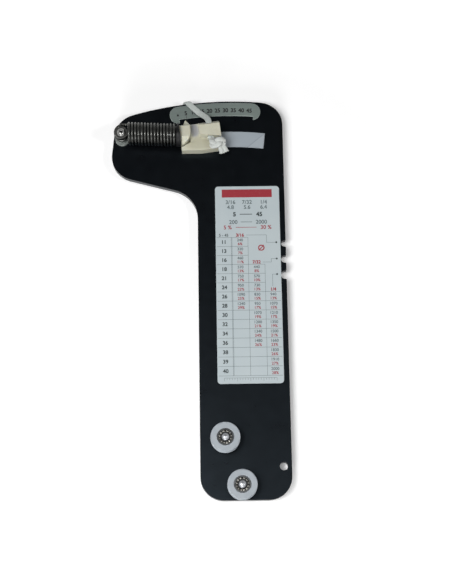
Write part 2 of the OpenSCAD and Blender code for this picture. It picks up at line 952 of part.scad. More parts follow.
// Least gap between loops, either beside or over each other
hank_gap = min([
    for (i = [0:len(hank_path) - 9])
    min([
        for (j = [i + 8:len(hank_path) - 1])
        let (d = hank_path[j] - hank_path[i])
        max(abs(d.z) - braid_t, norm([d.x, d.y]) - braid_w)
    ])
]);
echo(hank_least_gap = hank_gap);

module at_hank() {
    translate([hank_centre.x, hank_centre.y, 0])
        children();
}

module lanyard_hank() {
    color(braid)
    at_hank()
        swept(hank_path, hank_sides, braid_section);
}

// Band round the waist of the hank
module hank_tie() {
    low = hank_outer_r - waist_draw + braid_w / 2 + 0.4;
    high = mean_r - waist_draw + braid_w / 2 + 0.4;
    inside_h = layer_rise + braid_t + 0.3;
    color(braid)
    at_hank()
    translate([0, tie_w / 2, waist_lift - 0.1])
    rotate([90, 0, 0])
    linear_extrude(tie_w)
    difference() {
        tie_outline(-low, high, inside_h, tie_t);
        tie_outline(-low, high, inside_h, 0);
    }
}

// Flat outline with round ends, from x0 to x1, h high, grown by g
module tie_outline(x0, x1, h, g) {
    for (x = [x0, x1])
        translate([x, h / 2])
            circle(r = h / 2 + g, $fn = 48);
    translate([x0, -g])
        square([x1 - x0, h + 2 * g]);
}

module lanyard_end_knot() {
    tip = hank_path[len(hank_path) - 1];
    bulge = 1.6;
    end_r = end_knot_r - 0.3;
    color(braid)
    at_hank()
    translate(tip)
    rotate([90, 0, 0])
    rotate_extrude($fn = 48)
    difference() {
        square([end_knot_r, end_knot_length]);
        polygon([[end_r, 0], [end_knot_r + 1, 0], [end_knot_r + 1, bulge], [end_knot_r, bulge]]);
        polygon([
            [end_knot_r, end_knot_length - bulge],
            [end_knot_r + 1, end_knot_length - bulge],
            [end_knot_r + 1, end_knot_length],
            [end_r, end_knot_length]
        ]);
    }
}

body_plate();
scale_plate();
chart_label();
slide_strip();
anchor_sleeve();
anchor_cap();
anchor_screw();
spring();
spring_plug();
plug_screw();
hook_block();
tyre(upper_wheel);  // upper_tyre
outer_race(upper_wheel);  // upper_outer_race
balls(upper_wheel);  // upper_balls
inner_race(upper_wheel);  // upper_inner_race
spacer(upper_wheel);  // upper_spacer
axle(upper_wheel);  // upper_axle
tyre(lower_wheel);  // lower_tyre
outer_race(lower_wheel);  // lower_outer_race
balls(lower_wheel);  // lower_balls
inner_race(lower_wheel);  // lower_inner_race
spacer(lower_wheel);  // lower_spacer
axle(lower_wheel);  // lower_axle
back_washer(anchor);  // anchor_washer
back_nut(anchor);  // anchor_nut
back_washer(upper_wheel);  // upper_washer
back_nut(upper_wheel);  // upper_nut
back_washer(lower_wheel);  // lower_washer
back_nut(lower_wheel);  // lower_nut
lanyard_knot();
lanyard_front();
lanyard_back();
lanyard_hank();
hank_tie();
lanyard_end_knot();
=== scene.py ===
import json
import math

import bmesh
import bpy
from mathutils import Matrix, Vector


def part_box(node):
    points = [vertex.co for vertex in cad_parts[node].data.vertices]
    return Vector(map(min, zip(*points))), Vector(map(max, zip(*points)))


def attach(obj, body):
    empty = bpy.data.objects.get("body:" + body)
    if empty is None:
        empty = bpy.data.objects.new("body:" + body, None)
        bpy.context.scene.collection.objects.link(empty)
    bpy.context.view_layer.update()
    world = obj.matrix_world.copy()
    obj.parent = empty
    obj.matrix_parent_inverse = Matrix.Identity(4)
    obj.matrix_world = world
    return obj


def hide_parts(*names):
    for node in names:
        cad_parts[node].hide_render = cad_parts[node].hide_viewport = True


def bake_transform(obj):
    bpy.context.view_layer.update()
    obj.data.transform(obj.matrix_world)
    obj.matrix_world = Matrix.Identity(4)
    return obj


# Cable tension gauge, lying on its back on a pale table. Metres, with X to the right,
# Y towards the head and Z up off the face. Sizes are written in millimetres, times MM.
MM = 0.001
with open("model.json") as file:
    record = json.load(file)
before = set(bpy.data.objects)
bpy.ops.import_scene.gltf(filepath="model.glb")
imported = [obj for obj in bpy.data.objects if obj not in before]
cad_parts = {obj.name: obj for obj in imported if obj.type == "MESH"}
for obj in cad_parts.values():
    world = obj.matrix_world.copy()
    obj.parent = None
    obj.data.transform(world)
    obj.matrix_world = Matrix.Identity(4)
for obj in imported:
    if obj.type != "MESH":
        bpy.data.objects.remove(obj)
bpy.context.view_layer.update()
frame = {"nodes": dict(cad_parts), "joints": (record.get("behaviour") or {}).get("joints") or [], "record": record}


# Stage
# The camera stands above the foot of the gauge and looks up the plate. A large soft lamp
# hangs beside it, two small ones flank it, and a low one lights what faces the foot.
aim = Vector((0, 40, 20)) * MM
camera = bpy.data.objects.new("camera", bpy.data.cameras.new("camera"))
camera.location = Vector((6.1, -276.0, 1008.6)) * MM
camera.rotation_euler = [math.radians(angle) for angle in (15.534, -0.602, -0.877)]
camera.data.lens = 82.63
camera.data.sensor_width = 36
camera.data.clip_end = 40
bpy.context.collection.objects.link(camera)
bpy.context.scene.camera = camera
bpy.context.scene.view_settings.view_transform = "Standard"


def soft_lamp(name, place, width, power):
    """A round soft lamp that points at the gauge."""
    light = bpy.data.lights.new(name, "AREA")
    light.shape = "DISK"
    light.size = width
    light.energy = power
    holder = bpy.data.objects.new(name, light)
    holder.location = place
    holder.rotation_euler = (aim - holder.location).to_track_quat("-Z", "Y").to_euler()
    bpy.context.collection.objects.link(holder)


soft_lamp("main_lamp", Vector((-0.36, -0.26, 1.15)), width=0.45, power=8.8)
soft_lamp("left_lamp", Vector((-0.6, -0.3, 0.92)), width=0.15, power=2.1)
soft_lamp("right_lamp", Vector((0.64, -0.2, 0.9)), width=0.15, power=2.4)
soft_lamp("foot_lamp", Vector((-0.25, -1.4, 0.75)), width=0.6, power=8.4)


def strength_for(tree, rays, others, seen):
    """A strength that is seen for the kinds of rays named, and others for the rest. Either
    may be a plain number or an output."""
    path = tree.nodes.new("ShaderNodeLightPath")
    kind = path.outputs[rays[0]]
    for name in rays[1:]:
        either = tree.nodes.new("ShaderNodeMath")
        either.operation = "MAXIMUM"
        tree.links.new(kind, either.inputs[0])
        tree.links.new(path.outputs[name], either.inputs[1])
        kind = either.outputs[0]
    level = tree.nodes.new("ShaderNodeMapRange")
    for value, socket in ((others, level.inputs["To Min"]), (seen, level.inputs["To Max"])):
        if isinstance(value, (int, float)):
            socket.default_value = value
        else:
            tree.links.new(value, socket)
    tree.links.new(kind, level.inputs["Value"])
    return level.outputs["Result"]


def spread(tree, value, low, high, to_low, to_high):
    """The value with low to high spread over to_low to to_high."""
    node = tree.nodes.new("ShaderNodeMapRange")
    for name, number in (
        ("From Min", low), ("From Max", high), ("To Min", to_low), ("To Max", to_high)
    ):
        node.inputs[name].default_value = number
    tree.links.new(value, node.inputs["Value"])
    return node.outputs["Result"]


def white_room():
    """White walls that metal reflects too. A black cloth hangs over the head of the gauge,
    so that the black plate has little to reflect there."""
    room = bpy.data.worlds.new("white_room")
    room.use_nodes = True
    tree = room.node_tree
    cloth_tilt, cloth_edge, cloth_middle = (math.radians(angle) for angle in (32, 34, 18))
    cloth_grey = 0.04
    light_from_walls = 0.06
    cloth = tree.nodes.new("ShaderNodeVectorMath")
    cloth.operation = "DOT_PRODUCT"
    cloth.inputs[1].default_value = (0, math.sin(cloth_tilt), math.cos(cloth_tilt))
    tree.links.new(tree.nodes.new("ShaderNodeTexCoord").outputs["Generated"], cloth.inputs[0])
    whiteness = spread(
        tree, cloth.outputs["Value"], math.cos(cloth_edge), math.cos(cloth_middle), 1.0, cloth_grey
    )
    mirrors = ("Is Glossy Ray", "Is Transmission Ray")
    mirrored = strength_for(tree, mirrors, light_from_walls, whiteness)
    walls = tree.nodes["Background"]
    walls.inputs["Color"].default_value = (1, 1, 1, 1)
    tree.links.new(strength_for(tree, ("Is Camera Ray",), mirrored, 1.0), walls.inputs["Strength"])
    return room


bpy.context.scene.world = white_room()


def white_table():
    """Table top. Near the gauge most of its whiteness answers to light and shadow, and
    farther off it turns as white as the walls."""
    material = bpy.data.materials.new("white_table")
    material.use_nodes = True
    tree = material.node_tree
    tree.nodes.clear()
    matt = tree.nodes.new("ShaderNodeBsdfDiffuse")
    matt.inputs["Color"].default_value = (0.86, 0.86, 0.86, 1)
    distance = tree.nodes.new("ShaderNodeVectorMath")
    distance.operation = "LENGTH"
    tree.links.new(tree.nodes.new("ShaderNodeTexCoord").outputs["Object"], distance.inputs[0])
    near, far, glow_near = 0.2, 0.5, 0.25
    whiteness = spread(tree, distance.outputs["Value"], near, far, glow_near, 1.0)
    glow = tree.nodes.new("ShaderNodeEmission")
    seen = ("Is Camera Ray", "Is Glossy Ray", "Is Transmission Ray")
    glowing = strength_for(tree, seen, 0.0, whiteness)
    tree.links.new(glowing, glow.inputs["Strength"])
    both = tree.nodes.new("ShaderNodeAddShader")
    tree.links.new(matt.outputs[0], both.inputs[0])
    tree.links.new(glow.outputs[0], both.inputs[1])
    tree.links.new(both.outputs[0], tree.nodes.new("ShaderNodeOutputMaterial").inputs["Surface"])
    return material


table_half = 1.5
table_mesh = bpy.data.meshes.new("table")
table_mesh.from_pydata(
    [(x * table_half, y * table_half, 0) for x, y in ((-1, -1), (1, -1), (1, 1), (-1, 1))],
    [],
    [(0, 1, 2, 3)],
)
table_mesh.materials.append(white_table())
table = bpy.data.objects.new("table", table_mesh)
bpy.context.collection.objects.link(table)


# Body plate
# Flat bar of aluminium, sawn and milled to shape, its edges broken by hand, then blasted
# and anodised black. Everything else is screwed or stuck to it.
def shade(red, green, blue):
    """A colour as a screen shows it, 0 to 255, in the numbers that a shader takes."""
    levels = [c / 255 for c in (red, green, blue)]
    return [c / 12.92 if c < 0.04 else ((c + 0.055) / 1.055) ** 2.4 for c in levels] + [1]


class Finish:
    """A material put together round one shader. Patterns lie in the gauge's own space."""

    def __init__(self, name, colour, roughness, metallic=0.0):
        self.material = bpy.data.materials.new(name)
        self.material.use_nodes = True
        self.nodes = self.material.node_tree.nodes
        self.shader = self.nodes["Principled BSDF"]
        self.shader.inputs["Base Color"].default_value = shade(*colour)
        self.shader.inputs["Roughness"].default_value = roughness
        self.shader.inputs["Metallic"].default_value = metallic
        places = self.nodes.new("ShaderNodeTexCoord")
        self.place = places.outputs["Object"]
        self.surface_map = places.outputs["UV"]
        self.colour = None
        self.normal = None

    def join(self, output, socket):
        self.material.node_tree.links.new(output, socket)

    def sum(self, operation, *values):
        """One step of arithmetic on outputs or plain numbers."""
        node = self.nodes.new("ShaderNodeMath")
        node.operation = operation
        for socket, value in zip(node.inputs, values):
            if isinstance(value, (int, float)):
                socket.default_value = value
            else:
                self.join(value, socket)
        return node.outputs[0]

    def across_and_up(self, place, start=(0, 0)):
        """How far a place lies from a start along x and along y."""
        apart = self.nodes.new("ShaderNodeSeparateXYZ")
        self.join(place, apart.inputs[0])
        return (
            self.sum("SUBTRACT", apart.outputs["X"], start[0]),
            self.sum("SUBTRACT", apart.outputs["Y"], start[1]),
        )

    def stretched(self, place, factors):
        """A place whose patterns come out longer where a factor is small."""
        node = self.nodes.new("ShaderNodeVectorMath")
        node.operation = "MULTIPLY"
        node.inputs[1].default_value = factors
        self.join(place, node.inputs[0])
        return node.outputs[0]

    def cloud(self, size, detail=2.0, place=None):
        """Soft spots of about a size in metres, from 0 to 1."""
        node = self.nodes.new("ShaderNodeTexNoise")
        node.inputs["Scale"].default_value = 1 / size
        node.inputs["Detail"].default_value = detail
        self.join(place or self.place, node.inputs["Vector"])
        return node.outputs[0]

    def ramp(self, value, low, high, to_low=0.0, to_high=1.0):
        return spread(self.material.node_tree, value, low, high, to_low, to_high)

    def tint(self, mask, colour):
        """Lays a colour over what is there, where the mask is 1."""
        node = self.nodes.new("ShaderNodeMix")
        node.data_type = "RGBA"
        under, over = node.inputs[6], node.inputs[7]
        if self.colour:
            self.join(self.colour, under)
        else:
            under.default_value = self.shader.inputs["Base Color"].default_value
        over.default_value = shade(*colour)
        self.join(mask, node.inputs["Factor"])
        self.colour = node.outputs[2]
        self.join(self.colour, self.shader.inputs["Base Color"])

    def roughen(self, mask, low, high):
        """Roughness from low to high as the mask goes from 0 to 1."""
        self.join(self.ramp(mask, 0, 1, low, high), self.shader.inputs["Roughness"])

    def relief(self, height, depth):
        """Raises the surface by up to depth where the height is 1."""
        node = self.nodes.new("ShaderNodeBump")
        node.inputs["Distance"].default_value = depth
        self.join(height, node.inputs["Height"])
        if self.normal:
            self.join(self.normal, node.inputs["Normal"])
        self.normal = node.outputs["Normal"]
        self.join(self.normal, self.shader.inputs["Normal"])


def black_anodised():
    finish = Finish("black_anodised", (2, 2, 3), 0.42)
    finish.tint(finish.ramp(finish.cloud(60 * MM), 0.35, 0.65), (4, 4, 5))
    finish.roughen(finish.cloud(9 * MM, 3), 0.25, 0.33)
    grain = finish.cloud(0.35 * MM, 1)
    finish.relief(grain, 0.012 * MM)
    scuffs = finish.cloud(1.6 * MM, 4, finish.stretched(finish.place, (1, 0.06, 1)))
    finish.tint(finish.ramp(scuffs, 0.68, 0.76, 0, 0.2), (34, 37, 42))
    # The dye swallows most of the shine and leaves the rest blue
    finish.shader.inputs["Specular IOR Level"].default_value = 0.3
    finish.shader.inputs["Specular Tint"].default_value = (0.66, 0.84, 1, 1)
    return finish


def worn_anodised():
    """Edges of the plate, where hands and cables have rubbed the black thin."""
    finish = Finish("worn_anodised", (11, 12, 14), 0.36)
    rubs = finish.cloud(2.5 * MM, 4)
    finish.tint(finish.ramp(rubs, 0.52, 0.75), (48, 50, 54))
    finish.roughen(rubs, 0.42, 0.3)
    finish.relief(finish.cloud(0.6 * MM, 2), 0.03 * MM)
    finish.shader.inputs["Specular IOR Level"].default_value = 0.35
    return finish


body_of_node = {
    node: body
    for body, nodes in frame["record"]["behaviour"]["bodies"].items()
    for node in nodes
}
# Edges that turn by more than the first angle are eased. What is left shades sharp past
# the second one
corner = math.radians(32)
sharp_after_easing = math.radians(48)


def mesh_of(name, shape):
    """A mesh of a finished shape, which is used up."""
    mesh = bpy.data.meshes.new(name)
    shape.to_mesh(mesh)
    shape.free()
    return mesh


def piece_from(name, mesh, finishes, body=None):
    """An object of a mesh with the finishes given. It rides on a body, if one is given."""
    for finish in finishes:
        mesh.materials.append(finish.material)
    mesh.shade_smooth()
    mesh.set_sharp_from_angle(angle=sharp_after_easing)
    piece = bpy.data.objects.new(name, mesh)
    bpy.context.collection.objects.link(piece)
    if body:
        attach(piece, body)
    return piece


def eased(node, name, width, *finishes):
    """The node again with its sharp edges rounded by width. The rounded edges take the
    last finish, and the piece stands for the node."""
    cad = frame["nodes"][node]
    shape = bmesh.new()
    shape.from_mesh(cad.data)
    bmesh.ops.remove_doubles(shape, verts=shape.verts, dist=0.001 * MM)
    bmesh.ops.dissolve_limit(
        shape, angle_limit=math.radians(0.4), verts=shape.verts, edges=shape.edges
    )
    for face in shape.faces:
        face.material_index = 0
    bmesh.ops.bevel(
        shape,
        geom=[e for e in shape.edges if e.is_manifold and e.calc_face_angle() > corner],
        offset=width,
        segments=2,
        profile=0.5,
        affect="EDGES",
        clamp_overlap=True,
        material=len(finishes) - 1,
    )
    piece = piece_from(name, mesh_of(name, shape), finishes, body_of_node[node])
    shading = piece.modifiers.new("flat_faces_shade_flat", "WEIGHTED_NORMAL")
    shading.keep_sharp = True
    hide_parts(node)
    return piece


eased("body_plate", "plate", 0.35 * MM, black_anodised(), worn_anodised())
face_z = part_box("body_plate")[1].z


# Scale plate
# Curved strip of satin aluminium, brushed along its length and stuck to the face. Its
# numbers and its zero dot are printed black, and a cut-out leaves room for the pointer.
swing = Vector(frame["joints"][0]["pos_m"])


def brushed_aluminium():
    finish = Finish("brushed_aluminium", (122, 133, 129), 0.48, 0.3)
    across, up = finish.across_and_up(finish.place, swing)
    radius = finish.sum("SQRT", finish.sum(
        "ADD", finish.sum("MULTIPLY", across, across), finish.sum("MULTIPLY", up, up)
    ))
    along = finish.sum("ARCTAN2", across, up)
    # A radian round counts as so little that the brushing runs along the strip
    radian = 4 * MM
    polar = finish.nodes.new("ShaderNodeCombineXYZ")
    finish.join(radius, polar.inputs["X"])
    finish.join(finish.sum("MULTIPLY", along, radian), polar.inputs["Y"])
    brushing = finish.cloud(0.25 * MM, 3, polar.outputs[0])
    finish.tint(finish.ramp(brushing, 0.3, 0.7, 0, 0.6), (95, 105, 101))
    finish.roughen(brushing, 0.38, 0.55)
    finish.relief(brushing, 0.008 * MM)
    return finish


def sheared_edge():
    """Edges of the scale, painted brighter than its face: a painted highlight along the edge, with darker burrs.
    """
    finish = Finish("sheared_edge", (172, 182, 178), 0.4, 0.5)
    burrs = finish.cloud(0.8 * MM, 3)
    finish.tint(finish.ramp(burrs, 0.4, 0.7, 0, 0.6), (128, 138, 134))
    finish.roughen(burrs, 0.34, 0.48)
    finish.relief(finish.cloud(0.3 * MM, 2), 0.02 * MM)
    return finish


def printing_ink(name, colour):
    finish = Finish(name, colour, 0.5)
    finish.tint(finish.ramp(finish.cloud(1.2 * MM, 3), 0.6, 0.9, 0, 0.2), (150, 158, 158))
    finish.roughen(finish.cloud(2 * MM), 0.4, 0.6)
    finish.relief(finish.cloud(0.3 * MM, 2), 0.004 * MM)
    return finish


class Print:
    """Ink of one colour on a flat face: numbers, rules and dots in one thin mesh.
    x and y are in millimetres, from the corner or point that is given as the origin."""

    ink_t = 0.03 * MM
    # Each print over another lies this much higher
    overprint = 0.003 * MM
    # A digit's height and the middle of it, as shares of the font's size
    digit_h = 0.7
    digit_middle = 0.041

    def __init__(self, origin, height):
        self.origin = Vector((origin.x, origin.y, height + self.ink_t / 2))
        self.ink = bmesh.new()

    def number(self, text, x, y, height, weight=0.0, turn=0.0, width=1.0):
        """Digits centred on a place. A weight in millimetres prints them at each corner of
        a square of that size, each print over the last, so that the strokes are thicker."""
        curve = bpy.data.curves.new("digits", "FONT")
        curve.body = text
        curve.size = height / self.digit_h
        curve.align_x = "CENTER"
        curve.align_y = "CENTER"
        curve.extrude = self.ink_t / 2 / MM
        holder = bpy.data.objects.new("digits", curve)
        mesh = bpy.data.meshes.new_from_object(holder)
        middle = Vector((0, -self.digit_middle * curve.size, 0))
        mesh.transform(
            Matrix.Translation(self.origin + Vector((x, y, 0)) * MM)
            @ Matrix.Rotation(turn, 4, "Z")
            @ Matrix.Diagonal((width * MM, MM, MM, 1))
            @ Matrix.Translation(middle)
        )
        half = weight / 2 * MM
        corners = ((-1, -1), (1, -1), (1, 1), (-1, 1)) if weight else ((0, 0),)
        at = Vector((0, 0, 0))
        for k, (across, up) in enumerate(corners):
            strike = Vector((across * half, up * half, k * self.overprint))
            mesh.transform(Matrix.Translation(strike - at))
            self.ink.from_mesh(mesh)
            at = strike
        bpy.data.objects.remove(holder)
        bpy.data.curves.remove(curve)
        bpy.data.meshes.remove(mesh)

    def rule(self, x0, y0, x1, y1, thick=0.22):
        """A straight line along x or y."""
        middle = Vector(((x0 + x1) / 2, (y0 + y1) / 2, 0)) * MM
        size = ((abs(x1 - x0) + thick) * MM, (abs(y1 - y0) + thick) * MM, self.ink_t, 1)
        bmesh.ops.create_cube(
            self.ink, size=1, matrix=Matrix.Translation(self.origin + middle) @ Matrix.Diagonal(size)
        )

    def dot(self, x, y, radius):
        bmesh.ops.create_cone(
            self.ink,
            cap_ends=True,
            segments=28,
            radius1=radius * MM,
            radius2=radius * MM,
            depth=self.ink_t,
            matrix=Matrix.Translation(self.origin + Vector((x * MM, y * MM, self.overprint))),
        )

    def dried(self, name, finish):
        return piece_from(name, mesh_of(name, self.ink), [finish], "gauge")


# The scale's edges take a painted highlight
eased("scale_plate", "scale", 0.18 * MM, brushed_aluminium(), sheared_edge())

scale_numbers = Print(swing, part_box("scale_plate")[1].z)
number_circle = 265.6
first_number_angle = math.radians(-7.38)
last_number_angle = math.radians(3.6)
numbers_on_scale = 9
for i in range(numbers_on_scale):
    along_scale = i / (numbers_on_scale - 1)
    angle = first_number_angle + (last_number_angle - first_number_angle) * along_scale
    scale_numbers.number(
        str(5 * (i + 1)),
        number_circle * math.sin(angle),
        number_circle * math.cos(angle),
        3.3,
        weight=0.32,
        turn=-angle,
        width=0.94,
    )
zero_circle = 264.7
zero_angle = math.radians(-8.8)
scale_numbers.dot(zero_circle * math.sin(zero_angle), zero_circle * math.cos(zero_angle), 0.85)
# A tick runs from the first number down to the pointer
tick_x = number_circle * math.sin(first_number_angle) + 0.5
tick_y = number_circle * math.cos(first_number_angle)
scale_numbers.rule(tick_x, tick_y - 2.3, tick_x, tick_y - 4.6, thick=0.25)
scale_numbers.dried("scale_numbers", printing_ink("scale_ink", (12, 15, 14)))


# Chart label
# White plastic film, stuck on, with the tension that each cable has at each reading. Its
# words are left off: bars, plain numbers and a ruler hold their places.
def label_film():
    finish = Finish("label_film", (181, 191, 194), 0.42)
    finish.tint(finish.ramp(finish.cloud(22 * MM, 2), 0.35, 0.7, 0, 0.5), (172, 183, 188))
    finish.roughen(finish.cloud(14 * MM, 3), 0.36, 0.5)
    finish.relief(finish.cloud(3 * MM, 2), 0.02 * MM)
    return finish


eased("chart_label", "label", 0.06 * MM, label_film())

# Places on the label are measured from its top left corner
label_low, label_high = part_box("chart_label")
label_corner = Vector((label_low.x, label_high.y, 0))
dark_print = Print(label_corner, label_high.z)
grey_print = Print(label_corner, label_high.z)
red_print = Print(label_corner, label_high.z)

# Header: a bar, the sizes of cable in inches and millimetres, and the ranges of the chart
red_print.rule(8.6, -5.9, 41.4, -5.9, thick=6.6)
for x, inches, millimetres in ((12, "3/16", "4.8"), (25, "7/32", "5.6"), (38, "1/4", "6.4")):
    grey_print.number(inches, x, -13.1, 3.1, weight=0.12)
    grey_print.number(millimetres, x, -17.3, 3.1, weight=0.12)
dark_print.number("5", 15, -23.2, 3.3, weight=0.35)
dark_print.rule(19.5, -23.2, 28.5, -23.2, thick=0.6)
dark_print.number("45", 34.5, -23.2, 3.3, weight=0.35)
grey_print.number("200", 14, -29.6, 3.1, weight=0.12)
grey_print.rule(20, -29.6, 28.5, -29.6, thick=0.4)
grey_print.number("2000", 36, -29.6, 3.1, weight=0.12)
red_print.number("5 %", 9.5, -34.0, 3.1, weight=0.12)
red_print.rule(16, -34.0, 32, -34.0, thick=0.4)
red_print.number("30 %", 39.5, -34.0, 3.1, weight=0.12)

# Table: the readings in the first column, then a column for each size of cable. Those of
# the thicker two start lower down, so that the rules above them stop short
reading_x = 6.3
dark_print.number("5 - 45", reading_x, -40.4, 2.2, weight=0.1)
readings = (11, 13, 16, 18, 21, 24, 26, 28, 30, 32, 34, 36, 38, 39, 40)
table_top = -42.3
row_h = 7.35
column_x = (0.9, 12.4, 25.2, 38.05, 49.6)
second_cable_row, third_cable_row = 3, 6
table_foot = table_top - len(readings) * row_h
for row, reading in enumerate(readings):
    y = table_top - row * row_h
    dark_print.number(str(reading), reading_x, y - row_h / 2, 2.9, weight=0.24)
    last_column = 2 if row < second_cable_row else 3 if row < third_cable_row else 4
    grey_print.rule(column_x[0], y, column_x[last_column], y)
grey_print.rule(column_x[0], table_foot, column_x[4], table_foot)
half_double_rule = 0.3
for x, first_row in (
    (column_x[1] - half_double_rule, 0),
    (column_x[1] + half_double_rule, 0),
    (column_x[2], 0),
    (column_x[3], second_cable_row),
):
    grey_print.rule(x, table_top - first_row * row_h, x, table_foot)

# Tension grows with the reading by the same power in each column, up to the last row
tension_power = 1.76
for x, heading, first_row, rows, last_tension, breaking_load in (
    (19.0, "3/16", 0, 8, 1240, 4300),
    (31.6, "7/32", second_cable_row, 9, 1480, 5600),
    (44.0, "1/4", third_cable_row, 9, 2000, 7100),
):
    red_print.number(heading, x, table_top - first_row * row_h + 1.9, 2.5, weight=0.24)
    last_reading = readings[first_row + rows - 1]
    for row in range(first_row, first_row + rows):
        tension = last_tension * (readings[row] / last_reading) ** tension_power
        y = table_top - row * row_h
        grey_print.number(str(round(tension / 10) * 10), x, y - 2.1, 2.2, weight=0.1)
        share = round(100 * tension / breaking_load)
        red_print.number(str(share) + "%", x, y - 5.3, 2.2, weight=0.1)

# Leaders from the headings to the notches in the plate's edge
dot_x = 47.3
for steps in (
    ((24.0, -40.4), (39.7, -40.4), (39.7, -46.6), (dot_x, -46.6)),
    ((36.4, -62.6), (43.1, -62.6), (43.1, -59.9), (dot_x, -59.9)),
    ((43.7, -82.0), (43.7, -72.5), (dot_x, -72.5)),
):
    for (x0, y0), (x1, y1) in zip(steps, steps[1:]):
        grey_print.rule(x0, y0, x1, y1)
    dark_print.dot(dot_x, steps[-1][1], 0.75)
# The sign for a diameter, beside the leaders
red_print.number("Ø", 35.5, -50.9, 4.6, weight=0.2)

# Ruler along the foot of the label, 2 millimetres to a tick
ruler_y = -154.2
ruler_start = 5.2
ruler_ticks = 20
for tick in range(ruler_ticks + 1):
    x = ruler_start + 2 * tick
    tick_length = 1.5 if tick % 5 else 2.4
    grey_print.rule(x, ruler_y, x, ruler_y - tick_length, 0.2)
grey_print.rule(ruler_start, ruler_y, ruler_start + 2 * ruler_ticks, ruler_y, 0.2)

dark_print.dried("label_black", printing_ink("black_ink", (44, 53, 54)))
grey_print.dried("label_grey", printing_ink("grey_ink", (82, 94, 97)))
red_print.dried("label_red", printing_ink("red_ink", (142, 34, 46)))


# Slide strip
# Slippery plastic tape under the hook block, stuck down. Near its right end it was
# creased when it was laid.
def slide_tape():
    finish = Finish("slide_tape", (154, 162, 169), 0.38)
    finish.tint(finish.ramp(finish.cloud(12 * MM, 2), 0.35, 0.7, 0, 0.5), (146, 154, 162))
    crease_start = Vector((41.0, 121.4, 0)) * MM
    crease_way = Vector((12.2, 10.1, 0)).normalized()
    across, up = finish.across_and_up(finish.place, crease_start)
    beside = finish.sum(
        "SUBTRACT",
        finish.sum("MULTIPLY", across, crease_way.y),
        finish.sum("MULTIPLY", up, crease_way.x),
    )
    # The crease is painted dark along its line, as painted shade, and one side of it lighter, as a painted
    # highlight
    crease_and_its_shade = finish.ramp(finish.sum("ABSOLUTE", beside), 0, 0.45 * MM, 1, 0)
    finish.tint(finish.ramp(beside, 0, 0.8 * MM, 0, 0.5), (164, 172, 178))
    finish.tint(finish.sum("MULTIPLY", crease_and_its_shade, 0.55), (112, 120, 128))
    finish.relief(crease_and_its_shade, 0.15 * MM)
    rubbed = finish.cloud(1.2 * MM, 3, finish.stretched(finish.place, (0.08, 1, 1)))
    finish.roughen(rubbed, 0.3, 0.5)
    finish.relief(rubbed, 0.01 * MM)
    return finish


eased("slide_strip", "slide_tape", 0.1 * MM, slide_tape())


# Anchor of the spring
# A turned steel sleeve and a washer for a cap, clamped to the plate by a button screw.
# Behind the plate a washer and a lock nut hold the screw, as they hold both axles.
def plain_steel(name, colour, roughness, grain=0.02):
    """Bare or plated steel, darker in patches, with a grain in millimetres."""
    finish = Finish(name, colour, roughness, 1.0)
    patches = finish.ramp(finish.cloud(2.5 * MM, 3), 0.4, 0.75, 0, 0.5)
    finish.tint(patches, [c * 0.7 for c in colour])
    finish.roughen(finish.cloud(1.5 * MM, 2), roughness * 0.8, roughness * 1.25)
    finish.relief(finish.cloud(0.3 * MM, 2), grain * MM)
    return finish


zinc_plate = plain_steel("zinc_plate", (176, 180, 180), 0.32)
dark_steel = plain_steel("dark_steel", (84, 84, 82), 0.42)
tumbled_steel = plain_steel("tumbled_steel", (132, 137, 134), 0.62)
bright_steel = plain_steel("bright_steel", (130, 130, 128), 0.2, 0.008)
eased("anchor_sleeve", "spring_sleeve", 0.25 * MM, tumbled_steel)
eased("anchor_cap", "cap_washer", 0.35 * MM, dark_steel)
eased("anchor_screw", "button_screw", 0.18 * MM, bright_steel)
for fastener in ("anchor", "upper", "lower"):
    eased(fastener + "_washer", fastener + "_back_washer", 0.15 * MM, zinc_plate)
    eased(fastener + "_nut", fastener + "_lock_nut", 0.3 * MM, zinc_plate)


# Spring
# Tempered wire, oiled and dark, wound in 14 and a half close turns. Its hook lies round
# the anchor's sleeve, and its last turns grip the spigot of the plug. Millimetres.
coil_r = 8.51
wire_r = 1.015
spring_pitch = 2.53
spring_turns = 14.5
sleeve_r = 2.9
sleeve_gap = 0.15
hook_r = sleeve_r + sleeve_gap + wire_r
hook_offset = 1.6
hook_bend = 2.2
coil_start = 5.4
hook_rise = 1.8
# Degrees round the sleeve: where the hook leaves the coil, comes close and ends
hook_from, hook_close, hook_to = 75, 205, 400
coil_steps = 32


def ease(share):
    """From 0 to 1 with a soft start and end."""
    t = min(max(share, 0), 1)
    return t * t * (3 - 2 * t)


def wire_line():
    """The wire's middle from its free end, round the hook and along the coil, in
    millimetres from the anchor, each place with the direction that its rings keep to."""
    line = []
    # The hook, from its free end
    hook_steps = 60
    for i in range(hook_steps + 1):
        turn = hook_to - (hook_to - hook_from) * i / hook_steps
        share = ease((turn - hook_from) / (hook_close - hook_from))
        radius = hook_r + (coil_r + hook_offset - hook_r) * (1 - share)
        x = radius * math.cos(math.radians(turn))
        y = radius * math.sin(math.radians(turn))
        line.append((Vector((x, y, hook_rise * (1 - i / hook_steps) - hook_bend)), Vector((0, 0, 1))))
    # The bend from the hook to the coil
    for angle in (15, 30, 45, 60, 75):
        t = math.radians(angle)
        x = coil_start - hook_bend + hook_bend * math.sin(t)
        line.append((Vector((x, coil_r + hook_offset, -hook_bend * math.cos(t))), Vector((0, 1, 1))))
    # The coil
    for i in range(int(coil_steps * spring_turns) + 1):
        t = 2 * math.pi * i / coil_steps
        out = Vector((0, math.cos(t), math.sin(t)))
        middle = Vector((coil_start + spring_pitch * i / coil_steps, hook_offset, 0)) + coil_r * out
        line.append((middle, out))
    return line


def smoothed(points, rounds):
    """The points with each inner one drawn towards its neighbours, some rounds over."""
    for _ in range(rounds):
        points = (
            points[:1]
            + [(a + 2 * b + c) / 4 for a, b, c in zip(points, points[1:], points[2:])]
            + points[-1:]
        )
    return points


def way_at(path, i):
    """Which way a path runs at one of its places."""
    return path[min(i + 1, len(path) - 1)] - path[max(i - 1, 0)]


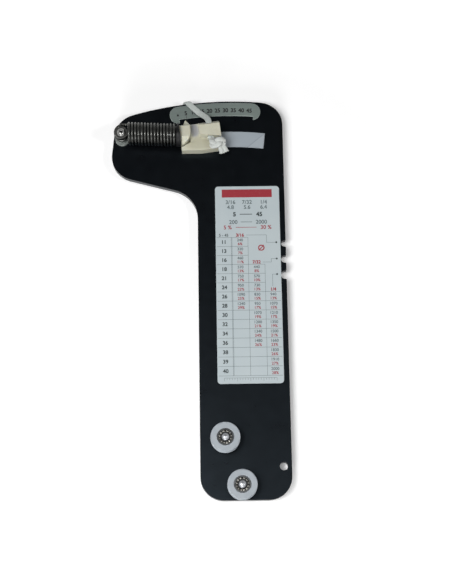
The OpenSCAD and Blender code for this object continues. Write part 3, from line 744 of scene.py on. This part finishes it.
def swept(name, path, sides, outline, span=None, relief=None):
    """A mesh of an outline carried along a path, or along a span of its places, closed at
    both ends. sides says which way the outline's across direction points. Its surface map
    runs along and round, in metres."""
    first, last = span or (0, len(path) - 1)
    runs = [0.0]
    for before, now in zip(path, path[1:]):
        runs.append(runs[-1] + (now - before).length)
    shape = bmesh.new()
    surface_map = shape.loops.layers.uv.new("along_and_round")
    rings = []
    for i in range(first, last + 1):
        way = way_at(path, i).normalized()
        up = sides[i].cross(way).normalized()
        across = way.cross(up)
        ring = []
        for a, b in outline:
            swell = 1 + (relief(runs[i], a) if relief else 0)
            ring.append(shape.verts.new(path[i] + across * a * swell + up * b * swell))
        rings.append(ring)
    count = len(outline)
    girth = sum(math.dist(outline[k], outline[(k + 1) % count]) for k in range(count))
    for i in range(len(rings) - 1):
        run, next_run = runs[first + i], runs[first + i + 1]
        for k in range(count):
            after = (k + 1) % count
            corners = (rings[i][k], rings[i][after], rings[i + 1][after], rings[i + 1][k])
            places = ((run, k), (run, k + 1), (next_run, k + 1), (next_run, k))
            for loop, (u, v) in zip(shape.faces.new(corners).loops, places):
                loop[surface_map].uv = (u, v * girth / count)
    shape.faces.new(list(reversed(rings[0])))
    shape.faces.new(rings[-1])
    bmesh.ops.recalc_face_normals(shape, faces=shape.faces)
    return mesh_of(name, shape)


def circle(radius, count):
    return [
        (radius * math.cos(2 * math.pi * k / count), radius * math.sin(2 * math.pi * k / count))
        for k in range(count)
    ]


def oiled_wire():
    finish = Finish("oiled_wire", (72, 73, 71), 0.3, 1.0)
    drawn = finish.cloud(0.5 * MM, 3, finish.stretched(finish.surface_map, (0.05, 1, 1)))
    finish.tint(finish.ramp(finish.cloud(4 * MM, 3), 0.42, 0.7, 0, 0.6), (50, 50, 48))
    finish.roughen(drawn, 0.18, 0.34)
    finish.relief(drawn, 0.01 * MM)
    return finish


def middle_of(piece):
    low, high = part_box(piece)
    return (low + high) / 2


anchor = middle_of("anchor_sleeve")
spring_up = 10.2 * MM
spring_lean = math.radians(-2.4)
spring_frame = (
    Matrix.Translation((anchor.x, anchor.y, face_z + spring_up))
    @ Matrix.Rotation(spring_lean, 4, "Z")
)
wire = wire_line()
wire_path = [spring_frame @ (place * MM) for place in smoothed([place for place, _ in wire], 4)]
wire_sides = [spring_frame.to_3x3() @ side for _, side in wire]
wire_finish = oiled_wire()
coil_first = len(wire) - 1 - int(coil_steps * spring_turns)


def wire_piece(name, turns_from, turns_to):
    """The wire between two counts of turns. The hook comes before turn 0."""
    first = coil_first + round(turns_from * coil_steps) if turns_from else 0
    last = coil_first + round(turns_to * coil_steps)
    outline = circle(wire_r * MM, 14)
    mesh = swept(name, wire_path, wire_sides, outline, span=(first, last))
    piece = piece_from(name, mesh, [wire_finish])
    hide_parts("spring")
    return piece


def share_before_easing(eased_share):
    """The share that ease turns into this one."""
    return 0.5 - math.sin(math.asin(1 - 2 * eased_share) / 3)


# The hook end stays and the plug end travels. The half turns between them are baked where they lie
free_from, free_to = 0.5, 12.5
half_turns = round(2 * (free_to - free_from))
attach(wire_piece("spring_hook", 0, free_from), "gauge")
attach(wire_piece("spring_end", free_to, spring_turns), "drawbar")
for k in range(half_turns):
    turn = free_from + k / 2
    half_turn = wire_piece("spring_half_turn_" + str(k + 1), turn, turn + 0.5)
    share = share_before_easing(k / half_turns)
    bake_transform(half_turn)


# Plug
# Black moulded plastic between spring and hook block. Its spigot fills the last turns,
# and a screw through its middle holds it to the block's jaw.
def moulded_black():
    finish = Finish("moulded_black", (9, 9, 10), 0.4)
    finish.tint(finish.ramp(finish.cloud(3 * MM, 3), 0.5, 0.8, 0, 0.5), (24, 24, 25))
    finish.roughen(finish.cloud(1.5 * MM, 2), 0.32, 0.55)
    finish.relief(finish.cloud(0.5 * MM, 2), 0.02 * MM)
    finish.shader.inputs["Specular IOR Level"].default_value = 0.2
    return finish


eased("spring_plug", "plug", 0.4 * MM, moulded_black())
eased("plug_screw", "plug_bolt", 0.2 * MM, zinc_plate)


# Hook block
# Cream nylon, sawn and milled from bar: a jaw and a horn with the cable's groove between
# them, a rail along the front and a pointer at the back. It slides on the tape.
block_turn = math.radians(6.5)
block_frame = (
    Matrix.Translation((2.5 * MM, 126.9 * MM, face_z)) @ Matrix.Rotation(block_turn, 4, "Z")
)


def patch(finish, middle, reach):
    """1 round a place on the block and 0 beyond its reach along each of the block's axes,
    in millimetres."""
    to_patch = finish.nodes.new("ShaderNodeMapping")
    to_patch.vector_type = "TEXTURE"
    to_patch.inputs["Location"].default_value = block_frame @ (Vector(middle) * MM)
    to_patch.inputs["Rotation"].default_value = (0, 0, block_turn)
    to_patch.inputs["Scale"].default_value = Vector(reach) * MM
    finish.join(finish.place, to_patch.inputs["Vector"])
    distance = finish.nodes.new("ShaderNodeVectorMath")
    distance.operation = "LENGTH"
    finish.join(to_patch.outputs[0], distance.inputs[0])
    return finish.ramp(distance.outputs["Value"], 0.65, 1, 1, 0)


def let_light_in(finish, depths):
    """Nylon takes a little light in. The depths of red, green and blue are shares of the
    reach."""
    reach = 1.2 * MM
    finish.shader.inputs["Subsurface Weight"].default_value = 0.2
    finish.shader.inputs["Subsurface Radius"].default_value = depths
    finish.shader.inputs["Subsurface Scale"].default_value = reach


def cream_nylon():
    finish = Finish("cream_nylon", (200, 199, 181), 0.42)
    finish.tint(finish.ramp(finish.cloud(7 * MM, 2), 0.35, 0.7, 0, 0.6), (188, 186, 167))
    # Cables have rubbed the groove's floor grey. The step in front of it is painted darker, as painted shade below
    # the groove
    finish.tint(patch(finish, (-4.0, 6.2, 8.2), (4.3, 7.8, 3)), (164, 165, 167))
    step_shade = finish.sum("MULTIPLY", patch(finish, (1, -5, 7.6), (17, 7, 2.6)), 0.6)
    finish.tint(step_shade, (168, 165, 143))
    grime = finish.cloud(1.4 * MM, 4)
    finish.tint(finish.ramp(grime, 0.62, 0.8, 0, 0.4), (150, 142, 116))
    milling = finish.cloud(0.4 * MM, 2, finish.stretched(finish.place, (0.15, 1, 1)))
    finish.roughen(milling, 0.34, 0.52)
    finish.relief(milling, 0.02 * MM)
    let_light_in(finish, (1.0, 0.8, 0.5))
    return finish


def rubbed_nylon():
    """Edges of the block, scraped smooth, and painted a little brighter: a painted highlight along them."""
    finish = Finish("rubbed_nylon", (208, 206, 190), 0.34)
    scrapes = finish.cloud(1.8 * MM, 3)
    finish.tint(finish.ramp(scrapes, 0.5, 0.75, 0, 0.5), (178, 172, 148))
    finish.roughen(scrapes, 0.28, 0.44)
    finish.relief(finish.cloud(0.7 * MM, 2), 0.03 * MM)
    return finish


# The block's edges take a painted highlight
eased("hook_block", "block", 0.4 * MM, cream_nylon(), rubbed_nylon())


# Wheels
# Each wheel is a turned nylon tyre with a round groove, pressed on a ball bearing. A domed
# axle holds the bearing's inner race on a spacer. Open bearings show their balls and cage.
def wheel_nylon():
    finish = Finish("wheel_nylon", (159, 166, 172), 0.44)
    finish.tint(finish.ramp(finish.cloud(5 * MM, 2), 0.35, 0.7, 0, 0.6), (146, 154, 161))
    finish.roughen(finish.cloud(1 * MM, 3), 0.36, 0.54)
    finish.relief(finish.cloud(0.35 * MM, 2), 0.015 * MM)
    let_light_in(finish, (0.9, 0.95, 1.0))
    return finish


def cage_mesh(name, middle, wave_side):
    """Half of a pressed steel cage: a thin ribbon that rises over each ball, on the side
    that wave_side gives as 1 or -1."""
    ball_circle, balls, ball_r, over_ball = 4.4, 12, 1.1, 0.12
    half_w, half_t, flat = 0.5, 0.09, 0.16
    steps = 20 * balls
    shape = bmesh.new()
    rings = []
    for i in range(steps):
        angle = 2 * math.pi * i / steps
        nearest = (i / steps * balls) % 1 - 0.5
        off_ball = abs(nearest) * 2 * math.pi * ball_circle / balls
        bulge = math.sqrt(max((ball_r + over_ball) ** 2 - off_ball ** 2, 0))
        height = wave_side * max(bulge, flat)
        out = Vector((math.cos(angle), math.sin(angle), 0))
        ring = []
        for a, b in ((-half_w, -half_t), (half_w, -half_t), (half_w, half_t), (-half_w, half_t)):
            place = middle + (out * (ball_circle + a) + Vector((0, 0, height + b))) * MM
            ring.append(shape.verts.new(place))
        rings.append(ring)
    for i in range(steps):
        following = rings[(i + 1) % steps]
        for k in range(4):
            after = (k + 1) % 4
            shape.faces.new((rings[i][k], rings[i][after], following[after], following[k]))
    bmesh.ops.recalc_face_normals(shape, faces=shape.faces)
    return mesh_of(name, shape)


def repaint(node, finish):
    """Gives a CAD node, whose shape is right, its finish."""
    frame["nodes"][node].material_slots[0].material = finish.material


bearing_steel = plain_steel("bearing_steel", (138, 141, 143), 0.16, 0.012)
# The inner races are painted dark: painted shade under the domed axles
race_steel_in_painted_shade = plain_steel("race_steel_in_painted_shade", (58, 59, 60), 0.3, 0.006)
ball_steel = plain_steel("ball_steel", (222, 224, 226), 0.1, 0.002)
cage_steel = plain_steel("cage_steel", (124, 122, 118), 0.3)
axle_steel = plain_steel("axle_steel", (160, 162, 166), 0.38, 0.01)
tyre_nylon = wheel_nylon()
for wheel in ("upper", "lower"):
    eased(wheel + "_tyre", wheel + "_grooved_tyre", 0.15 * MM, tyre_nylon)
    repaint(wheel + "_spacer", tumbled_steel)
    repaint(wheel + "_outer_race", bearing_steel)
    repaint(wheel + "_inner_race", race_steel_in_painted_shade)
    repaint(wheel + "_balls", ball_steel)
    eased(wheel + "_axle", wheel + "_domed_axle", 0.15 * MM, axle_steel)
    for side, wave_side in (("top", 1), ("bottom", -1)):
        cage_name = wheel + "_cage_" + side
        cage = cage_mesh(cage_name, middle_of(wheel + "_balls"), wave_side)
        piece_from(cage_name, cage, [cage_steel], wheel + "_ball_set")


# Lanyard
# A limp flat braid of white nylon. It is knotted in front of the block, runs through it
# and over the plate's top edge, and its rest is tied up in a hank under the plate.
braid_w = 4.7
braid_t = 1.8
# Places on the braid's route: x, y and z in millimetres, and the braid's turn in degrees
front_route = [
    [10.7, 123.8, 21.2, 6], [10.4, 126.0, 21.2, 6], [10.0, 130.0, 21.2, 6], [9.5, 134.0, 21.2, 6],
    [9.1, 137.6, 21.1, 8], [8.6, 140.6, 20.2, 18], [7.1, 143.4, 18.2, 32], [4.6, 146.2, 16.0, 42],
    [1.8, 149.0, 14.1, 44], [-0.8, 151.6, 13.3, 44], [-3.2, 154.0, 13.1, 42], [-5.3, 156.2, 13.1, 34],
    [-6.9, 157.9, 12.9, 20], [-8.2, 159.0, 12.0, 10], [-8.8, 159.2, 10.6, 7], [-9.1, 159.2, 9.0, 7],
    [-9.3, 159.2, 7.4, 6],
]
back_route = [
    [-9.7, 158.9, 5.3, -4], [-10.1, 158.2, 3.4, -14], [-11.0, 156.8, 1.9, -24],
    [-12.4, 154.8, 1.1, -32], [-14.4, 151.8, 0.9, -30], [-15.8, 148.2, 0.9, -14],
    [-15.8, 144.0, 0.9, 8], [-13.6, 139.8, 0.9, 32], [-10.0, 136.0, 0.9, 45],
    [-5.6, 131.6, 0.9, 45], [-1.4, 127.2, 0.9, 42], [2.4, 122.4, 0.9, 36],
    [5.4, 117.2, 0.9, 26], [7.6, 111.6, 0.9, 16], [8.8, 105.8, 0.9, 6],
]
# The hank: two loops, wound in and out, drawn in at the waist by the tie
hank_centre = Vector((33, 62, 0))
hank_run = 71
hank_r = 14.2
hank_step = 9.2
hank_outer_r = hank_r + hank_step
layer_rise = braid_t + 0.65
waist_draw = 11
waist_lift = 0.8
end_knot_r = 2.7
# Past the hank the braid runs on level and then drops to the end knot
tail_level = 7
tail_to_knot = 13
half_run = hank_run / 2
fold_length = math.pi * (hank_r + hank_step / 2)
loop_length = 2 * hank_run + 2 * fold_length
run_share = half_run / loop_length


def on_loop(d, r):
    """The place on a loop of radius r, d along it from the middle of the left run: down
    it, round the fold, up the right run, round the other fold and down again."""
    if d < half_run:
        return -r, -d
    if d < half_run + fold_length:
        turn = math.pi + math.pi * (d - half_run) / fold_length
        return r * math.cos(turn), -half_run + r * math.sin(turn)
    if d < 3 * half_run + fold_length:
        return r, d - 2 * half_run - fold_length
    if d < 3 * half_run + 2 * fold_length:
        turn = math.pi * (d - 3 * half_run - fold_length) / fold_length
        return r * math.cos(turn), half_run + r * math.sin(turn)
    return -r, loop_length - d


def hank_point(loops):
    """The braid's middle after so many loops, drawn in at the waist."""
    radius = hank_outer_r - hank_step * (1 - abs(loops - 1))
    x, y = on_loop((loops % 1) * loop_length, radius)
    waist = (1 + math.cos(math.pi * y / half_run)) / 2 if abs(y) < half_run else 0
    rise = ease((loops - 1 + run_share) / (2 * run_share))
    return Vector((
        x - math.copysign(waist_draw * waist, x),
        y,
        braid_t / 2 + layer_rise * rise + waist_lift * waist,
    ))


def braid_knots():
    """Places on the lanyard in millimetres, each with its across direction."""
    knots = [
        (Vector(p[:3]), Vector((math.cos(math.radians(p[3])), math.sin(math.radians(p[3])), 0)))
        for p in front_route + back_route
    ]
    loops = 2 + 2 * run_share
    hank_steps = 55
    wound = [hank_point(-run_share + loops * i / hank_steps) for i in range(hank_steps + 1)]
    last = wound[-1]
    hank = [wound[0] + Vector((0, braid_w, 0))] + wound + [
        Vector((last.x, last.y - tail_level, last.z)),
        Vector((last.x, last.y - tail_to_knot, end_knot_r)),
        Vector((last.x, last.y - tail_to_knot - braid_w, end_knot_r)),
    ]
    for i, place in enumerate(hank):
        way = way_at(hank, i)
        knots.append((place + hank_centre, Vector((-way.y, way.x, 0)).normalized()))
    return knots


def curved(knots, step):
    """A smooth line through the places, in even steps, with its across directions."""
    fine_step = 0.1
    fine = []
    for i in range(len(knots) - 1):
        (p1, s1), (p2, s2) = knots[i], knots[i + 1]
        p0 = knots[i - 1][0] if i else p1 - (p2 - p1)
        p3 = knots[i + 2][0] if i + 2 < len(knots) else p2 + (p2 - p1)
        gap = (p2 - p1).length
        way1 = (p2 - p0).normalized() * gap
        way2 = (p3 - p1).normalized() * gap
        parts = max(2, round(gap / fine_step))
        for k in range(parts):
            t = k / parts
            place = (
                p1 * (2 * t ** 3 - 3 * t * t + 1)
                + way1 * (t ** 3 - 2 * t * t + t)
                + p2 * (3 * t * t - 2 * t ** 3)
                + way2 * (t ** 3 - t * t)
            )
            fine.append((place, s1.lerp(s2, t)))
    fine.append(knots[-1])
    even = [fine[0]]
    run = 0.0
    for before, now in zip(fine, fine[1:]):
        run += (now[0] - before[0]).length
        if run >= step:
            even.append(now)
            run = 0.0
    even[-1] = fine[-1]
    return even


def flat_outline(width, thick, count):
    """A flattened oval."""
    points = []
    for k in range(count):
        t = 2 * math.pi * k / count
        a = math.copysign(abs(math.cos(t)) ** 0.8, math.cos(t))
        b = math.copysign(abs(math.sin(t)) ** 0.7, math.sin(t))
        points.append((width / 2 * a, thick / 2 * b))
    return points


def plait(run, across):
    """How much the strands of the braid swell at a place, as a share."""
    columns = 4
    pick = 1.7 * MM
    swell = 0.05
    share = (across / (braid_w * MM) + 0.5) * columns
    column = math.floor(share)
    lean = 1 if column % 2 else -1
    return swell * math.cos(2 * math.pi * (run / pick + lean * 0.5 * (share - column)))


def white_braid(name, colour, pick=1.9):
    """Woven nylon: strands that cross at a slant on the surface map, with painted shade in the gaps between them,
    under a fine fuzz. A pick is the length of one strand on top, in millimetres."""
    strand_w = 2.35
    finish = Finish(name, colour, 0.75)
    along, round_it = finish.across_and_up(finish.surface_map)
    along = finish.sum("MULTIPLY", along, 2 * math.pi / (pick * MM))
    round_it = finish.sum("MULTIPLY", round_it, 2 * math.pi / (strand_w * MM))
    weave = finish.sum(
        "MULTIPLY",
        finish.sum("SINE", finish.sum("ADD", along, round_it)),
        finish.sum("SINE", finish.sum("SUBTRACT", along, round_it)),
    )
    strands = finish.sum("POWER", finish.sum("ABSOLUTE", weave), 0.5)
    fuzz = finish.cloud(0.35 * MM, 4)
    # The gaps between strands are painted darker: painted shade
    finish.tint(finish.ramp(strands, 0, 0.8, 0.4, 0), [c * 0.72 for c in colour])
    finish.tint(finish.ramp(fuzz, 0.45, 0.75, 0, 0.35), [c * 0.82 for c in colour])
    finish.roughen(fuzz, 0.66, 0.84)
    finish.relief(strands, 0.12 * MM)
    finish.relief(fuzz, 0.1 * MM)
    finish.shader.inputs["Sheen Weight"].default_value = 0.35
    finish.shader.inputs["Sheen Roughness"].default_value = 0.5
    return finish


braid_finish = white_braid("white_braid", (194, 201, 197))
lanyard_line = curved(braid_knots(), 0.45)
lanyard_path = [place * MM for place, _ in lanyard_line]
lanyard_mesh = swept(
    "lanyard",
    lanyard_path,
    [side for _, side in lanyard_line],
    flat_outline(braid_w * MM, braid_t * MM, 24),
    relief=plait,
)
lanyard = piece_from("lanyard", lanyard_mesh, [braid_finish])
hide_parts("lanyard_front", "lanyard_back", "lanyard_hank")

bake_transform(lanyard)


# Knot
# The near end of the same braid, pulled round itself in front of the block, so that the
# lanyard can't slip back through it. Its two cut tails have frayed.
def joined(name, meshes):
    shape = bmesh.new()
    for mesh in meshes:
        shape.from_mesh(mesh)
        bpy.data.meshes.remove(mesh)
    return mesh_of(name, shape)


def tube_along(name, places, place_frame, width, thick, side=None, count=16):
    """A soft cord through places in millimetres, seen in a frame of its own. Its width
    lies level, unless a side says which way it goes."""
    line = curved([(Vector(place), Vector((0, 0, 1))) for place in places], 0.35)
    path = [place_frame @ (place * MM) for place, _ in line]
    up = Vector((0, 0, 1))
    sides = [side or way_at(path, i).cross(up).normalized() for i in range(len(path))]
    return swept(name, path, sides, flat_outline(width * MM, thick * MM, count))


def knot_places(middle, reach, turns=48):
    """The closed line of a trefoil, as a pulled knot lies."""
    places = []
    for i in range(turns + 1):
        t = 2 * math.pi * i / turns
        out = 2 + math.cos(3 * t)
        places.append((
            middle[0] + reach[0] * out * math.cos(2 * t) / 3,
            middle[1] + reach[1] * out * math.sin(2 * t) / 3,
            middle[2] + reach[2] * math.sin(3 * t),
        ))
    return places


def frayed_tail(name, places, width, thick):
    """A tail of the knot with its strands loose at the end."""
    strands, strand_w, reach = 9, 1.1, 1.5
    tip = Vector(places[-1])
    way = (tip - Vector(places[-2])).normalized()
    level = way.cross(Vector((0, 0, 1))).normalized()
    over = level.cross(way)
    parts = [tube_along(name, places, block_frame, width, thick)]
    # Each strand starts inside the tip, bends outwards and ends at a length of its own
    for k in range(strands):
        t = 2 * math.pi * k / strands
        out = level * math.cos(t) * (width - strand_w) / 2 + over * math.sin(t) * (thick - strand_w) / 2
        root = tip + out * 0.9 - way * 0.6
        bend = tip + out * 1.1 + way * reach * 0.5
        end = tip + out * 1.45 + way * reach * (0.8 + 0.25 * math.sin(5 * t))
        parts.append(tube_along(name, (root, bend, end), block_frame, strand_w, strand_w, count=8))
    return parts


knot_middle = (12.0, -8.6, 12.9)
knot_parts = [
    tube_along("knot_round", knot_places(knot_middle, (5.2, 2.9, 2.0)), block_frame, 4.2, 2.9),
    *frayed_tail(
        "left_tail",
        [(13.0, -9.6, 12.2), (13.9, -11.8, 11.8), (14.5, -13.9, 10.4), (14.8, -15.2, 9.2)],
        3.6,
        2.7,
    ),
    *frayed_tail(
        "right_tail",
        [(15.0, -9.2, 12.0), (16.6, -11.0, 11.5), (17.7, -13.0, 10.4), (18.2, -14.3, 9.4)],
        3.6,
        2.7,
    ),
]
# The knot's braid is painted lighter than the lanyard's: painted light on the knot
knot_finish = white_braid("knot_braid_painted_lighter", (204, 208, 204), 1.6)
knot = piece_from("knot", joined("knot", knot_parts), [knot_finish], "drawbar")
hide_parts("lanyard_knot")


# Tie and end knot
# A flat woven band keeps the hank's loops together at the waist. At its far end the
# braid is wrapped round itself three times and pulled tight.
tie_low, tie_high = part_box("hank_tie")
tie_w, tie_t = 5, 0.55
# The band's middle lies this far inside the solid that it stands for
tie_in = 0.3
tie_half_w = (tie_high.x - tie_low.x) / 2 / MM - tie_in
tie_half_h = (tie_high.z - tie_low.z) / 2 / MM - tie_in
# It goes flat over and under the hank, with a round bend at either side
flat = tie_half_w - tie_half_h
sideways_speed, rise_speed, bend_fullness = 3, 1.6, 0.8
tie_round = []
tie_steps = 96
for i in range(tie_steps + 1):
    across, up = math.cos(2 * math.pi * i / tie_steps), math.sin(2 * math.pi * i / tie_steps)
    along_flat = math.copysign(flat, across) * min(1, abs(across) * sideways_speed)
    height = min(1, abs(up) * rise_speed) ** bend_fullness
    tie_round.append((along_flat + tie_half_h * across, tie_half_h * math.copysign(height, up)))
tie_mesh = swept(
    "waist_tie",
    [middle_of("hank_tie") + Vector((x, 0, z)) * MM for x, z in tie_round],
    [Vector((0, 1, 0))] * len(tie_round),
    flat_outline(tie_w * MM, tie_t * MM, 16),
)
waist_tie = piece_from("waist_tie", tie_mesh, [braid_finish], "gauge")
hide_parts("hank_tie")

wrap_r, wrap_turns, wrap_half, steps_in_turn = 1.7, 3, 2.0, 24
wrap_steps = steps_in_turn * wrap_turns
wraps = []
for i in range(wrap_steps + 1):
    t = 2 * math.pi * i / steps_in_turn
    y = wrap_half - 2 * wrap_half * i / wrap_steps
    wraps.append((wrap_r * math.cos(t), y, wrap_r * math.sin(t)))
end_frame = Matrix.Translation(middle_of("lanyard_end_knot"))
end_parts = [
    tube_along("end_wraps", wraps, end_frame, 2.0, 1.9, side=Vector((0, 1, 0))),
    tube_along("end_core", [(0, 2.9, 0), (0, 1, 0), (0, -1, 0), (0, -2.9, 0)], end_frame, 3.4, 2.4),
]
end_knot = piece_from("end_knot", joined("end_knot", end_parts), [braid_finish], "gauge")
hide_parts("lanyard_end_knot")
